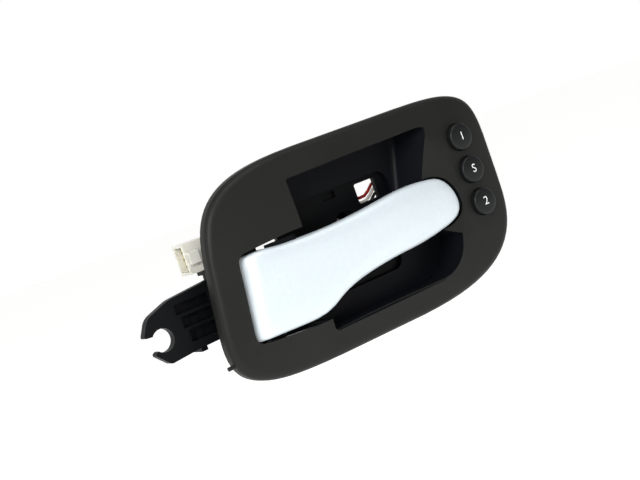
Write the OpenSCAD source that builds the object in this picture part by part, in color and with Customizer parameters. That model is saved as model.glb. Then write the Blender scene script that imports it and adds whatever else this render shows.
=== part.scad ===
// Inside door handle of a car: a moulded bezel with a finger recess, a sprung lever on a vertical pin,
// three push buttons with their switch unit, and the carrier frame that holds it all to the door.
// Axes: +X along the handle towards the buttons, +Z up, +Y into the door.
// Origin: middle of the bezel, on the plane where its rim seats on the door trim.

/* [Bezel] */
// Half length of the bezel outline
bezel_half_l = 80.5; // [79:0.5:88]
// Half height of the bezel outline
bezel_half_h = 46.3; // [45.5:0.1:52]
// Sideways place of the outline's middle
bezel_mid_x = 1.65; // [1:0.05:2.5]
// How far the left side leans out per millimetre of height
bezel_lean = 0.15; // [0.1:0.01:0.17]
// Depth of the rim from its seat to the edge of the face
rim_depth = 6.5; // [6:0.1:8]
// Radius of the rounding between rim and face
rim_round = 3.2; // [2.6:0.1:3.6]
// How far the face crowns above its edge
face_crown = 2.2; // [1.6:0.1:2.6]
// Wall thickness of the bezel
bezel_wall = 2.4; // [2:0.1:2.6]
// Length of the small locating pin on the rim
rim_pin_l = 4.2; // [3:0.1:6]

/* [Recess] */
// Left edge of the finger recess
recess_x0 = -30.4; // [-31.5:0.1:-30]
// Top edge of the finger recess
recess_z1 = 34.6; // [33.5:0.1:35]
// Bottom edge of the finger recess
recess_z0 = -35; // [-35.6:0.1:-34.2]
// Radius of the round right end of the recess
scoop_r = 58.4; // [57.6:0.1:58.8]
// How far the dish at the right end runs inwards for each millimetre that it drops
dish_slope = 3.6; // [3:0.1:4.4]
// Right wall of the deep pocket, level with the edge of the face and a little above the lever
pocket_x1 = 40.4; // [39.5:0.1:41.5]
// Lean of that wall away from the upright
pocket_lean = 18; // [14:0.5:20]
// Draft of that wall
pocket_draft = 20; // [16:0.5:22]
// Place of the pocket's back wall behind the rim seat
pocket_y = 10; // [9.6:0.1:10.4]
// Radius between the pocket's right wall and back wall
pocket_round = 3.6; // [3:0.1:4.4]
// Right edge of the cut-out in the pocket's back wall
cutout_x1 = 31.2; // [30:0.1:32]
// Top edge of the cut-out in the pocket's back wall
cutout_z1 = 21.8; // [21:0.1:22.5]

/* [Lever] */
// Place of the pivot axis along the handle
pivot_x = -56; // [-56.5:0.1:-55.5]
// Depth of the pivot axis behind the rim seat
pivot_y = 0.5; // [0.3:0.1:0.8]
// Height of the lever's front above the pivot axis
lever_rise = 10.6; // [10:0.1:11]
// Right end of the lever
lever_x1 = 52.8; // [52:0.1:53]
// Left end of the lever at its top corner
lever_x0 = -63.7; // [-64:0.1:-63]
// Top of the lever's wide end
lever_z1 = 10; // [9.6:0.1:10.2]
// Bottom of the lever's wide end
lever_z0 = -26.5; // [-26.8:0.1:-26]
// Gap between the lever and the slot around it
lever_gap = 2; // [1.8:0.1:2.4]
// Gap between the lever's tip and the hollow that it lies in
tip_gap = 0.9; // [0.7:0.1:1.1]
// Gap between the lever's left end and the slot
nose_gap = 1.3; // [1.2:0.1:1.6]
// Thickness of the lever's skin over its hollow end
lever_skin = 2.5; // [2:0.1:3]
// Thickness of the grip from front to back
grip_t = 7.8; // [7:0.1:8.6]

/* [Pivot] */
// Radius of the pivot pin
pin_r = 2; // [1.8:0.05:2.2]
// Radial clearance of the pin in its bores
pin_fit = 0.05; // [0.02:0.01:0.08]
// Outer radius of the carrier's knuckles
knuckle_r = 4.4; // [4.2:0.1:4.6]
// Thickness of the frame's two ears
ear_t = 3.5; // [3:0.1:4]
// Radius of the ears round the pin
ear_r = 4.5; // [4.2:0.1:4.6]
// End play between a knuckle and its ear
end_play = 0.3; // [0.2:0.05:0.4]
// Wire thickness of the return spring
spring_wire = 1.2; // [1:0.1:1.2]
// Number of turns of the return spring
spring_turns = 8; // [6:1:9]

/* [Buttons] */
// Radius of a button cap
button_r = 6.3; // [6:0.05:6.4]
// Distance between neighbouring buttons
button_pitch = 16.1; // [16:0.1:16.6]
// Sideways place of the middle button
button_x = 64.8; // [64.6:0.1:65.2]
// Height of the middle button
button_z = 7.7; // [7:0.1:8.2]
// Sideways step from one button to the next
button_step = 0.6; // [0.4:0.1:0.8]
// How far a cap stands above the face
button_rise = 3.4; // [3:0.1:4]
// Travel of a button
button_travel = 1.4; // [1:0.1:1.5]
// Clearance round a button in its hole
button_fit = 0.3; // [0.25:0.05:0.35]

/* [Switch unit] */
// Width of the switch case
case_w = 16.8; // [16.6:0.1:17.2]
// Height of the switch case
case_h = 52; // [51.5:0.1:53]
// Depth of the switch case behind its seat
case_d = 8; // [7.6:0.1:9]
// Wall thickness of the switch case
case_wall = 1.4; // [1.2:0.1:1.4]
// Thickness of the switch board
board_t = 1.6; // [1.2:0.1:1.8]

/* [Frame] */
// Depth of the frame panel's front face behind the rim seat
frame_y = 12.5; // [12.5:0.1:13]
// Thickness of the frame panel
frame_t = 2.5; // [2.2:0.1:3]
// Height of the ribs on the back of the frame
frame_rib_h = 4; // [3:0.1:5]
// Thickness of the frame's ribs
rib_t = 1.3; // [1.2:0.1:1.6]
// Radius of the through bore for the fixing screw
fixing_r = 2.75; // [2.6:0.05:2.8]
// Radius of the well round the fixing screw
well_r = 5.5; // [5.2:0.1:5.8]
// Length of the fixing screw's boss behind the panel
well_l = 9; // [8:0.1:10]

/* [Arm] */
// Thickness of the arm
arm_t = 4.4; // [4:0.1:5]
// Depth of the pockets in the arm's front
arm_pocket = 2.8; // [2:0.1:3]
// Radius of the round seat in the arm's clip
clip_r = 5; // [4.8:0.1:5.2]
// Width of the clip's mouth
clip_mouth = 5.6; // [5:0.1:6.4]
// Sideways place of the clip's seat
clip_x = -99.5; // [-100:0.1:-99]
// Height of the clip's seat
clip_z = -11.6; // [-12:0.1:-11.2]
// Radius of the seat for the cable's sleeve
sleeve_r = 3.6; // [3.4:0.1:3.8]

/* [Fasteners] */
// Thread radius of the small screws
screw_r = 1.3; // [1.2:0.05:1.4]
// Head radius of the small screws
screw_head_r = 2.8; // [2.6:0.1:3]
// Length of the frame screws under the head
screw_l = 9; // [8:0.5:10]
// Sheet thickness of the metal clips on the bezel
clip_sheet = 0.7; // [0.6:0.05:0.8]

/* [Wires] */
// Radius of a wire with its sheath
wire_r = 0.8; // [0.7:0.05:0.9]

/* [Hidden] */
$fn = 48;
touch = 0.3;

black = "#2b2c2a";
frame_black = "#1d1e20";
silver = "#dfe2e4";
steel = "#a9adb0";
rubber_black = "#191919";
button_black = "#232425";
connector_white = "#ece9df";

// Levels along Y
face_y = -rim_depth;
back_y = pocket_y + bezel_wall;
frame_back = frame_y + frame_t;
far = 60;

// Turns a flat outline drawn in X and Z into a slab from y0 to y1
module slab(y0, y1) {
    translate([0, y1, 0]) rotate([90, 0, 0]) linear_extrude(y1 - y0) children();
}

// Round bar along Y from y0 to y1, with radius r2 at y1 where that is given
module bar_y(r, y0, y1, x = 0, z = 0, r2 = -1) {
    translate([x, y1, z]) rotate([90, 0, 0]) cylinder(r1 = r2 < 0 ? r : r2, r2 = r, h = y1 - y0);
}

// Round bar along Z from z0 to z1
module bar_z(r, z0, z1, x = 0, y = 0) {
    translate([x, y, z0]) cylinder(r = r, h = z1 - z0);
}

// Block between two corners
module block(lo, hi) {
    translate(lo) cube(hi - lo);
}

function unit(v) = v / norm(v);
function turn(v, a) = [v.x * cos(a) - v.y * sin(a), v.x * sin(a) + v.y * cos(a)];
function cross2(u, v) = u.x * v.y - u.y * v.x;

// Points of one rounded corner: b holds its place and radius, a and c are its neighbours
function corner_arc(a, b, c, n) =
    let (u = unit([a.x - b.x, a.y - b.y]), w = unit([c.x - b.x, c.y - b.y]))
    let (half = acos(max(-1, min(1, u * w))) / 2)
    let (reach = b.z / tan(half), mid = [b.x, b.y] + unit(u + w) * b.z / sin(half))
    let (s = [b.x, b.y] + u * reach - mid, e = [b.x, b.y] + w * reach - mid)
    let (sweep = (180 - 2 * half) * sign(cross2(s, e)))
    [for (i = [0:n]) mid + turn(s, sweep * i / n)];

// Outline with rounded corners, each given as x, z and radius
function rounded(corners, n = 6) =
    let (m = len(corners))
    [for (i = [0:m - 1]) each corner_arc(corners[(i + m - 1) % m], corners[i], corners[(i + 1) % m], n)];

// The same corners moved outwards by d, for an outline that runs anticlockwise
function grown(corners, d) =
    let (m = len(corners))
    [for (i = [0:m - 1])
        let (a = corners[(i + m - 1) % m], b = corners[i], c = corners[(i + 1) % m])
        let (u = unit([b.x - a.x, b.y - a.y]), w = unit([c.x - b.x, c.y - b.y]))
        let (nu = [u.y, -u.x], nw = [w.y, -w.x])
        let (p = [b.x, b.y] + (nu + nw) * d / (1 + nu * nw))
        [p.x, p.y, max(0.2, b.z + (cross2(u, w) > 0 ? d : -d))]];

// Closed skin through rings that have the same number of points
module loft(rings) {
    n = len(rings[0]);
    m = len(rings);
    polyhedron(
        points = [for (r = rings) each r],
        faces = concat(
            [[for (i = [0:n - 1]) i]],
            [for (k = [0:m - 2]) for (i = [0:n - 1]) let (j = (i + 1) % n)
                each [[k * n + i, (k + 1) * n + i, (k + 1) * n + j],
                    [k * n + i, (k + 1) * n + j, k * n + j]]],
            [[for (i = [n - 1:-1:0]) (m - 1) * n + i]]));
}

// Smooth value at x of a curve through a few points, each given as place and value
function slope(c, i) =
    i == 0 ? (c[1].y - c[0].y) / (c[1].x - c[0].x)
    : i == len(c) - 1 ? (c[i].y - c[i - 1].y) / (c[i].x - c[i - 1].x)
    : (c[i + 1].y - c[i - 1].y) / (c[i + 1].x - c[i - 1].x);
function seat_of(c, x) = max([0, for (i = [0:len(c) - 2]) if (x >= c[i].x) i]);
function curve(c, x) =
    let (i = seat_of(c, x), w = c[i + 1].x - c[i].x, t = max(0, min(1, (x - c[i].x) / w)))
    let (a = slope(c, i) * w, b = slope(c, i + 1) * w, d = c[i + 1].y - c[i].y)
    c[i].y + t * a + t * t * (3 * d - 2 * a - b) + t * t * t * (a + b - 2 * d);

// Tube swept along a list of points
function frame_at(p, i) =
    let (d = unit(p[min(len(p) - 1, i + 1)] - p[max(0, i - 1)]))
    let (s = unit(cross(d, abs(d.z) > 0.9 ? [1, 0, 0] : [0, 0, 1])))
    [s, cross(d, s)];
function tube_rings(p, r, sides) =
    [for (i = [0:len(p) - 1]) let (f = frame_at(p, i))
        [for (k = [0:sides - 1]) p[i] + r * (cos(360 * k / sides) * f[0] + sin(360 * k / sides) * f[1])]];
module tube(p, r, sides = 8) {
    loft(tube_rings(p, r, sides));
}

// Smooth route through a few points, with n steps on each stretch
function spline(p, n) =
    let (m = len(p))
    concat([for (i = [0:m - 2]) for (k = [0:n - 1])
        let (t = k / n, a = p[max(0, i - 1)], b = p[i], c = p[i + 1], d = p[min(m - 1, i + 2)])
        0.5 * (2 * b + (c - a) * t + (2 * a - 5 * b + 4 * c - d) * t * t
            + (3 * b - a - 3 * c + d) * t * t * t)], [p[m - 1]]);

// Outline of the bezel, drawn in by d
outline_steps = 80;
function corner_power(a) = a < 90 ? 6.4 : a < 180 ? 4 : a < 270 ? 5 : 3;
function outline_at(a, d) =
    let (n = corner_power(a), c = cos(a), s = sin(a))
    let (x = (bezel_half_l - d) * sign(c) * pow(abs(c), 2 / n))
    let (z = (bezel_half_h - d) * sign(s) * pow(abs(s), 2 / n))
    [bezel_mid_x + x + bezel_lean * z * max(0, -x) / bezel_half_l, z];
function outline_ring(d, y) =
    [for (i = [0:outline_steps - 1]) let (p = outline_at(360 * i / outline_steps, d)) [p.x, y, p.y]];

// Depth of the crowned face, at a distance d in from the edge
crown_reach = 38;
function crown_y(d) = face_y - face_crown * (1 - pow((crown_reach - d) / (crown_reach - rim_round), 2));

// Finger recess and lever slot, as corners with radii
recess_corners = [[recess_x0, recess_z1 - 1, 1], [recess_x0 - 1.2, recess_z0, 1.5],
    [46.5, recess_z0 + 0.3, 18], [56.8, 5.5, scoop_r], [51.2, recess_z1 + 0.5, 9]];
slot_left_x = lever_x0 - nose_gap + 0.5;
slot_lean = 5.2;
slot_z1 = lever_z1 + lever_gap + 0.4;
slot_z0 = lever_z0 - lever_gap - 0.9;
slot_corners = [[recess_x0 + 8, slot_z1, 1], [-40, slot_z1, 20], [slot_left_x, lever_z1 + 0.9, 4.5],
    [slot_left_x - slot_lean, lever_z0 - 0.7, 4.5], [-40, slot_z0, 20], [recess_x0 + 8, slot_z0, 1]];
scoop_mid = [-3.5, 5.3];
pocket_corners = [[recess_x0 + 0.2, recess_z1 - 1.2, 1], [recess_x0 - 1, recess_z0 + 0.2, 1.5],
    [44.6, recess_z0 + 0.9, 17], [54.4, 5.5, scoop_r - 2.4], [50.8, recess_z1 + 0.3, 8.6]];
ring_start = -20;
dish_y0 = crown_y(bezel_mid_x + bezel_half_l - scoop_mid.x - scoop_r);
dish_h = 6;

// Switch unit
collar_y = face_y + bezel_wall - 0.6;
flange_t = 1.2;
pad_y = collar_y + touch + flange_t + button_travel + 0.6;
case_x0 = button_x - case_w / 2 + 1.6;
case_z0 = button_z - case_h / 2;
button_places = [for (k = [-1:1]) [button_x + k * button_step, button_z - k * button_pitch]];
cap_y = crown_y(12) - button_rise;
button_dome = 0.4;
flange_r = button_r + 1.1;
flange_y = collar_y + touch;
mat_t = 1;
dome_r = 3.4;
dome_h = pad_y - flange_y - flange_t;
board_y = pad_y + mat_t;
case_y1 = pad_y + case_d;

// Screws between frame and bezel
frame_screw_places = [[-46, 27], [-44, 7.8 - bezel_half_h], [53.6, 27], [53, -24]];
boss_r = 3.4;
pilot_r = 1.1;

// Ears, knuckles and spring along the pivot
ear_top = lever_z1 + lever_gap + 1.2;
ear_low = lever_z0 - lever_gap - 1.7;
knuckle_top = 3;
knuckle_low = -15;
sleeve_o = 3.3;
coil_r = sleeve_o + touch + spring_wire / 2;
coil_pitch = spring_wire + 0.3;
coil_mid = (knuckle_top + knuckle_low) / 2;
coil_h = spring_turns * coil_pitch;

// Foot of the pocket's leaning right wall, and a profile of its front side across the wall
wall_foot = [pocket_x1, 12.3];
function wall_u(y) = (face_y - y) * tan(pocket_draft);
function wall_profile() =
    let (r = pocket_round, d = pocket_draft, yc = pocket_y - r, uc = wall_u(yc) - r / cos(d))
    concat([[-2 * far, pocket_y], [-2 * far, ring_start], [wall_u(ring_start), ring_start]],
        [for (k = [0:6]) let (a = d + (90 - d) * k / 6) [uc + r * cos(a), yc + r * sin(a)]]);
module along_wall() {
    translate([wall_foot.x, 0, wall_foot.y]) rotate([0, pocket_lean, 0]) translate([0, 0, -1.5 * far])
        linear_extrude(3 * far) children();
}

// Line where the dish ends and the deep pocket reaches the lip, and the plane's half below it, moved up by d
ledge = [[32, -9], [51, -19.6]];
function ledge_z(x) = ledge[0].y + (x - ledge[0].x) * (ledge[1].y - ledge[0].y) / (ledge[1].x - ledge[0].x);
module below_ledge(d) {
    polygon([[-far, -far], [2 * far, -far], [2 * far, ledge_z(2 * far) + d], [-far, ledge_z(-far) + d]]);
}

module recess_cut() {
    // deep pocket with a leaning right wall and a round inner corner, wider below the ledge
    intersection() {
        slab(ring_start, pocket_y) polygon(rounded(pocket_corners));
        union() {
            along_wall() polygon(wall_profile());
            slab(ring_start, pocket_y) below_ledge(0);
        }
    }
    // shallow dish that runs out of the crowned face
    slab(ring_start, dish_y0) polygon(rounded(recess_corners));
    intersection() {
        slab(dish_y0 - 1, dish_y0 + dish_h) polygon(rounded(grown(recess_corners, 0.3)));
        translate([scoop_mid.x, dish_y0 - 0.5, scoop_mid.y]) rotate([-90, 0, 0]) cylinder(
            r1 = scoop_r + dish_slope * 0.5, r2 = scoop_r - dish_slope * dish_h, h = dish_h + 0.5, $fn = 96);
    }
    // hollow that the lever's tip lies in
    loft([for (k = [len(lever_stations) - 1:-1:0]) let (s = lever_stations[k]) if (s > 0.8)
        [for (p = lever_section(s, -tip_gap)) [p.x + 7 * tip_gap * (s - 0.8), p.y, p.z]]]);
}

// Hollow behind the dish, so that the walls stay even
module recess_back_cut() {
    t = bezel_wall / cos(pocket_draft);
    intersection() {
        slab(hollow_y + bezel_wall, back_y + 1) difference() {
            polygon(rounded(grown(recess_corners, -1.5)));
            below_ledge(bezel_wall);
        }
        along_wall() polygon([[wall_u(hollow_y) + t, hollow_y], [wall_u(back_y + 2) + t, back_y + 2],
            [far, back_y + 2], [far, hollow_y]]);
    }
}

module bezel_shell() {
    n = 4;
    inner = [for (d = [crown_reach - 2, 26, 16, 9, 5.5]) outline_ring(d, crown_y(d) + bezel_wall)];
    wall = [outline_ring(bezel_wall, face_y + rim_round), outline_ring(bezel_wall * 0.8, 0),
        outline_ring(0, 0)];
    edge = [for (k = [0:n]) let (a = 90 * k / n)
        outline_ring(rim_round * (1 - cos(a)), face_y + rim_round - rim_round * sin(a))];
    outer = [for (d = [6, 10, 16, 26, crown_reach - 2]) outline_ring(d, crown_y(d))];
    loft(concat(inner, wall, edge, outer));
}

// Upright tower on the bezel's back that carries one metal clip
tower_w = 9;
tower_t = 2;
tower_y = 7.5;
tower_z = bezel_half_h - 5.4;
tower_places = [[-38, tower_z], [32, tower_z], [-18, -tower_z], [28, -tower_z]];
module tower(p) {
    block([p.x - tower_w / 2, face_y + 0.5, p.y - tower_t / 2],
        [p.x + tower_w / 2, tower_y, p.y + tower_t / 2]);
}

module bezel() {
    color(black) difference() {
        union() {
            bezel_shell();
            // pocket walls
            slab(face_y, back_y) polygon(rounded(grown(recess_corners, bezel_wall - 0.4)));
            // low collar round the lever slot
            slab(face_y, collar_y) polygon(rounded(grown(slot_corners, 1.5)));
            // flat seat for the switch unit, merged into the face
            block([case_x0, face_y + 0.6, case_z0], [case_x0 + case_w, pad_y, case_z0 + case_h]);
            // bosses for the frame screws
            for (p = frame_screw_places) bar_y(boss_r, face_y + 1, frame_y, p.x, p.y);
            // bosses for the switch unit's screws
            for (p = switch_screw_places) bar_y(3, face_y + 0.6, pad_y, p.x, p.y);
            for (p = tower_places) tower(p);
            // small locating pin on the left side of the rim
            translate([-79.5, -2.6, -31.4]) rotate([0, -90, 0]) cylinder(r = 0.9, h = rim_pin_l, $fn = 24);
        }
        recess_cut();
        recess_back_cut();
        // room for the end of the pivot pin and its clip
        bar_z(pin_r * 2 + touch, pin_z0 - touch, ear_low - ear_t, pivot_x, pivot_y);
        slab(ring_start, pocket_y + 1) polygon(rounded(slot_corners));
        slab(pocket_y - 1, back_y + 1) polygon(rounded([[-far, cutout_z1, 1], [-far, -24, 1],
            [cutout_x1 - 7, -24, 5], [cutout_x1 - 7, -13, 8], [cutout_x1, 8, 12],
            [cutout_x1, cutout_z1, 6]]));
        // side wall of the pocket is open behind the slot
        block([recess_x0 - 8, collar_y, slot_z0], [recess_x0 + 2, back_y + 1, slot_z1]);
        for (p = button_places) {
            bar_y(button_r + button_fit, ring_start, pad_y + 1, p.x, p.y);
            bar_y(flange_r + button_fit, collar_y, pad_y + 1, p.x, p.y);
        }
        for (p = frame_screw_places) bar_y(pilot_r, frame_y - screw_l, frame_y + 1, p.x, p.y);
        for (p = switch_screw_places) bar_y(pilot_r, pad_y - 4.4, pad_y + 1, p.x, p.y);
    }
}

// Panel of the frame and its tabs, as outlines
hub_window = [[-48, 11.6, 3], [-62.5, 6.4, 3], [-62.5, -22.5, 3], [-57, -28.6, 3], [-33, -28.6, 3],
    [-33, 11.6, 3]];
panel_corners = [[-53, 31.5, 4], [-62.5, 13, 3], [-72, 7.8, 3], [-72, -21, 3], [-64, -27, 3], [-60, -36, 5],
    [47, -33.5, 8], [47, 31.5, 6]];
wire_window = [[14, 19.6, 0.8], [14, 10.2, 0.8], [25.4, 10.2, 0.8], [25.4, 19.6, 0.8]];
slot_window = [[-4.2, 20.6, 0.4], [-4.2, 17.4, 0.4], [2.8, 17.4, 0.4], [2.8, 20.6, 0.4]];
slot_depth = 1.7;
well = [4, 4.6];

// Outline of the arm and its clip, and the step of its front behind the panel's front
arm_step = 0.5;
arm_corners = [[-60, 5.8, 1], [clip_x + 8, 3.2, 14], [clip_x - 3.7, -0.8, 7],
    [clip_x - 8, clip_z + clip_mouth / 2 + 0.6, 0.8],
    [clip_x - 2, clip_z + clip_mouth / 2, 0.4], [clip_x - 2, clip_z - clip_mouth / 2, 0.4],
    [clip_x - 6, clip_z - clip_mouth / 2 - 1.6, 1], [clip_x, clip_z - clip_r - 5.6, 2.5],
    [clip_x + 14, clip_z - clip_r - 4.4, 12], [-60, -20.4, 1]];
arm_recess_x = [clip_x + 9.3, -74];
arm_rib_z = [0.9, -4.9, -11.2, -17.8];

module arm() {
    difference() {
        slab(frame_y + arm_step, frame_y + arm_step + arm_t) polygon(rounded(arm_corners));
        bar_y(clip_r, frame_y - 2, frame_y + 9, clip_x, clip_z);
        // three pockets between ribs, their outer ends stepped along the arm
        for (k = [0:2]) block([arm_recess_x[0] + 1.4 * k, frame_y - 2, arm_rib_z[k + 1] + rib_t / 2],
            [arm_recess_x[1], frame_y + arm_step + arm_pocket, arm_rib_z[k] - rib_t / 2]);
    }
    // upright wall with the seat for the cable's sleeve
    difference() {
        block([-84, frame_back, -23], [-81, frame_back + 12, -7]);
        translate([-85, frame_back + 7, -15]) rotate([0, 90, 0]) cylinder(r = sleeve_r, h = 6);
        block([-85, frame_back + 7, -15 - sleeve_r * 0.8], [-80, frame_back + 14, -15 + sleeve_r * 0.8]);
    }
}

// Strap that joins the two ears in front of the panel, and its stakes through panel and arm
strap_x = [-68, -63.4];
strap_t = 1.6;
stake_r = 1.2;
stake_y1 = frame_y + arm_step + arm_t;
stake_places = [for (z = [1, -17]) [(strap_x[0] + strap_x[1]) / 2, z]];

module ear(z0, z1, bevel) {
    bar_z(ear_r, z0, z1, pivot_x, pivot_y);
    block([pivot_x - ear_r, pivot_y, z0], [pivot_x + ear_r, frame_y, z1]);
    block([strap_x[0], frame_y - strap_t, z0], [pivot_x + ear_r, frame_y, z1]);
    // gusset beside the ear
    translate([pivot_x - 0.8, 0, 0]) rotate([90, 0, 90]) linear_extrude(1.6)
        polygon([[frame_y, bevel], [frame_y, (z0 + z1) / 2], [pivot_y + 5.5, (z0 + z1) / 2]]);
}

module pivot_bracket() {
    color(frame_black) difference() {
        union() {
            ear(ear_top, ear_top + ear_t, ear_top + ear_t + 5);
            ear(ear_low - ear_t, ear_low, ear_low - ear_t - 3);
            block([strap_x[0], frame_y - strap_t, ear_low - ear_t], [strap_x[1], frame_y, ear_top + ear_t]);
            for (p = stake_places) {
                bar_y(stake_r, frame_y - 0.5, stake_y1 + 0.6, p.x, p.y);
                bar_y(stake_r * 1.6, stake_y1, stake_y1 + 0.8, p.x, p.y);
            }
        }
        bar_z(pin_r + pin_fit, ear_low - ear_t - 1, ear_top + ear_t + 1, pivot_x, pivot_y);
    }
}

// Ribs on the frame's back: places of the long ones, and one rib between two corners
rib_z = [22.4, -32];
rib_x = [-31, 43.2];
module rib(lo, hi) {
    block([lo.x, frame_back - 1, lo.y], [hi.x, frame_back + frame_rib_h, hi.y]);
}

module frame() {
    color(frame_black) {
        difference() {
            union() {
                slab(frame_y, frame_back) polygon(rounded(panel_corners));
                for (p = frame_screw_places) bar_y(boss_r + 1.6, frame_y, frame_back, p.x, p.y);
                for (k = [2, 3]) block([45, frame_y, frame_screw_places[k].y - 4],
                    [frame_screw_places[k].x, frame_back, frame_screw_places[k].y + 4]);
                block([frame_screw_places[1].x - 4, frame_y, frame_screw_places[1].y],
                    [frame_screw_places[1].x + 4, frame_back, -30]);
                bar_y(well_r + 2.2, frame_y, frame_back + well_l, well.x, well.y);
                // ribs on the back
                for (z = rib_z) rib([-54, z], [rib_x[1] + rib_t, z + rib_t]);
                for (x = rib_x) rib([x, rib_z[1]], [x + rib_t, rib_z[0] + rib_t]);
                rib([-70, -20], [-70 + rib_t, connector_z0 - 2.2]);
                rib([rib_x[0], well.y - rib_t / 2], [rib_x[1] + rib_t, well.y + rib_t / 2]);
                arm();
                // shelf that carries the connector
                block([connector_x1 - 5, frame_back, connector_z0 - 2.2],
                    [connector_x1 + 2, frame_back + 8, connector_z0 - touch]);
            }
            slab(frame_y - 3, frame_back + 9) polygon(rounded(hub_window));
            slab(frame_y - 1, frame_back + 9) polygon(rounded(wire_window));
            slab(frame_y - 1, frame_y + slot_depth) polygon(rounded(slot_window));
            bar_y(well_r, frame_y - 1, frame_back + well_l - 3, well.x, well.y);
            bar_y(fixing_r, frame_y, frame_back + well_l + 1, well.x, well.y);
            for (p = frame_screw_places) bar_y(screw_r + 0.2, frame_y - 1, frame_back + 1, p.x, p.y);
            bar_y(stem_r + 0.1, frame_y - 1, frame_y + 2, bumper.x, bumper.y);
            for (p = stake_places) bar_y(stake_r + 0.1, frame_y - 1, stake_y1 + 1, p.x, p.y);
        }
    }
}

// Shape of the lever along its length: edges seen from the front, and depth
lever_top = [[-66, lever_z1 - 1], [-60, lever_z1 - 0.3], [-53, lever_z1], [-46, lever_z1 - 0.9],
    [-38, 8.6], [-20, 8.3], [0, 9.4], [22, 11.5], [36, 11.2], [54, 8.4]];
lever_low = [[-70, lever_z0 + 0.6], [-50, lever_z0], [-36, lever_z0 - 0.3], [-29, -25.6], [-20, -21.2],
    [-8, -18], [8, -16], [26, -15], [38, -13.4], [54, -10.4]];
lever_front = [[-70, 0], [-40, 0], [-10, -0.8], [20, -1.2], [40, -0.2], [54, 1.2]];
grip_back = grip_t - lever_rise;
hollow_y = pivot_y + grip_back + 0.4 + tip_gap;
lever_back = [[-70, 0], [-34, 0], [-22, grip_back + 0.8], [0, grip_back], [36, grip_back + 0.4],
    [54, grip_back - 0.8]];
lever_power = [[-70, 6], [-30, 5], [-10, 3.4], [54, 2.6]];
lever_lean = 0.155;
tip_l = 11;
nose_l = pivot_x - lever_x0;
lever_stations = concat([0, 0.003, 0.01, 0.022, 0.04, 0.062],
    [for (i = [0:21]) 0.09 + 0.785 * i / 21], [0.9, 0.925, 0.947, 0.965, 0.98, 0.991, 0.998]);
lever_sides = 28;
function lever_scale(x) =
    x > lever_x1 - tip_l ? pow(1 - pow((x - lever_x1 + tip_l) / tip_l, 2.5), 1 / 2.5)
    : x < lever_x0 + 4 ? 1 - 0.11 * pow((lever_x0 + 4 - x) / 4, 3) : 1;
function nose_depth(x) =
    x < pivot_x ? sqrt(max(0.03, 1 - pow((pivot_x - x) / nose_l, 2))) : 1;
function lever_section(s, inset) =
    let (x = lever_x0 + s * (lever_x1 - lever_x0), p = curve(lever_power, x), fade = pow(1 - s, 3))
    let (zt = curve(lever_top, x), zb = curve(lever_low, x), k = lever_scale(x))
    let (zc = (zt + zb) / 2 - 2.4 * pow(max(0, s - 0.9) / 0.1, 3), hz = (zt - zb) / 2 * k - inset)
    let (rear = pivot_y + curve(lever_back, x), rise = lever_rise * nose_depth(x))
    let (front = pivot_y - rise + curve(lever_front, x))
    let (yc = (front + rear) / 2, hy = (rear - front) / 2 * pow(k, 0.5) - inset)
    [for (i = [0:lever_sides - 1]) let (a = 360 * (i + 0.5) / lever_sides, c = cos(a), t = sin(a))
        let (z = zc + hz * sign(c) * pow(abs(c), 2 / p))
        [x + lever_lean * (z - lever_z1) * fade, yc + hy * sign(t) * pow(abs(t), 2 / p), z]];

// Outline of the carrier pad inside the lever's hollow end
pad_corners = [[-58.2, 6.6, 2.5], [-62, -23, 2.5], [-32, -23.2, 3], [-24.5, -17, 3], [-24.5, 4.6, 2.5]];
carrier_y0 = pivot_y - lever_rise + lever_skin + 0.15;
carrier_y1 = carrier_y0 + 2.6;

module lever() {
    color(silver) difference() {
        loft([for (s = lever_stations) lever_section(s, 0)]);
        // hollow end, open at the back
        slab(carrier_y0 - 0.15, pivot_y + 4) polygon(rounded(grown(pad_corners, 0.25)));
        // the knuckles pass through its upper and lower walls
        bar_z(knuckle_r + 0.3, ear_low - 1, ear_top + 1, pivot_x, pivot_y);
        bar_z(coil_r + spring_wire / 2 + touch, knuckle_low - 1, knuckle_top + 1, pivot_x, pivot_y);
        block([pivot_x - knuckle_r - 0.3, pivot_y, ear_low - 1],
            [pivot_x + knuckle_r + 0.3, pivot_y + 6, ear_top + 1]);
        block([-50.4, carrier_y1 - 1.9, lever_z1 - 6], [-34.6, pivot_y + 6, ear_top]);
        for (p = carrier_screw_places) bar_y(pilot_r, carrier_y0 - 1.6, carrier_y0 + 1, p.x, p.y);
    }
}

carrier_screw_places = [[-44, -17], [-36, 2.5]];
bumper = [-29.5, -10];
bumper_y = pivot_y + 0.6;
stem_r = 1.5;
crank_l = 21;
crank_z = [-24.4, -20];
crank_y = pivot_y + crank_l;
core_r = 2.6;

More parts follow.
